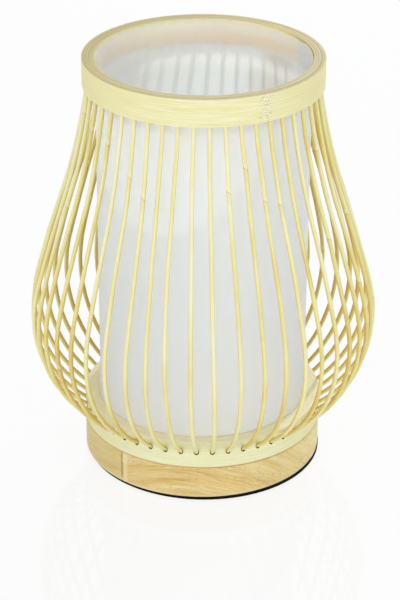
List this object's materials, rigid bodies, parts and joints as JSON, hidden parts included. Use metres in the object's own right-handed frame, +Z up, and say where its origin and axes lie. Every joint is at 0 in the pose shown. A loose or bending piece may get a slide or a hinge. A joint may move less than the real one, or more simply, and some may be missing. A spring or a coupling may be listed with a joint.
{
  "type": "bedside lamp",
  "caption": "Small pear-shaped bedside lamp: a cage of bowed bamboo ribs between a laminated top ring and a lower hoop, round a white film cylinder on a wooden foot.",
  "frame": {"origin": "centre of the pad's underside, on the table", "axes": "+Z up along the lamp's axis, -Y the front seen in the picture, +Y the rear with the cord inlet, +X the lamp's right as seen from the front"},
  "size_m": [0.2036, 0.2036, 0.25],
  "materials": {
    "pad_rubber": "matt black rubber sheet",
    "rubberwood": "sanded, clear satin lacquer",
    "black_plastic": "matt moulded",
    "zinc_steel": "zinc plated",
    "hoop_bamboo": "laminated bamboo, fine grain along the hoop",
    "band_bamboo": "bent bamboo strip, fine grain along the band",
    "core_bamboo": "laminated bamboo, sanded end faces",
    "rib_bamboo": "round bamboo splint, natural",
    "diffuser_film": "translucent white film",
    "ceramic": "pale moulded insulator",
    "brass": "plain",
    "opal_glass": "opal white",
    "white_plastic": "matt white",
    "nickel": "nickel plated"
  },
  "bodies": {
    "lamp": {"base_pad": "pad_rubber", "base_disc": "rubberwood", "cord_bushing": "black_plastic", "hoop_screws": "zinc_steel", "lower_hoop": "hoop_bamboo", "top_outer_band": "band_bamboo", "top_comb_ring": "core_bamboo", "top_inner_band": "core_bamboo", "diffuser_film": "diffuser_film", "threaded_tube": "zinc_steel", "tube_nuts": "zinc_steel", "tube_washers": "zinc_steel", "holder_cap": "white_plastic", "contact_block": "ceramic", "terminal_screws": "brass", "centre_contact": "brass", "screw_shell": "brass", "holder_skirt": "white_plastic", "ribs_01": "rib_bamboo", "ribs_02": "rib_bamboo", "ribs_03": "rib_bamboo", "ribs_04": "rib_bamboo", "ribs_05": "rib_bamboo", "ribs_06": "rib_bamboo", "ribs_07": "rib_bamboo", "ribs_08": "rib_bamboo", "ribs_09": "rib_bamboo", "ribs_10": "rib_bamboo", "ribs_11": "rib_bamboo", "ribs_12": "rib_bamboo", "ribs_13": "rib_bamboo", "ribs_14": "rib_bamboo", "ribs_15": "rib_bamboo", "ribs_16": "rib_bamboo"},
    "bulb": {"bulb_globe": "opal_glass", "bulb_collar": "white_plastic", "bulb_cap": "nickel", "bulb_insulator": "black_plastic", "bulb_tip": "nickel"}
  },
  "joints": [
    {"name": "bulb_lift", "type": "slide", "parent": "lamp", "child": "bulb", "axis": [0, 0, 1], "range_m": [0, 0.2]}
  ]
}
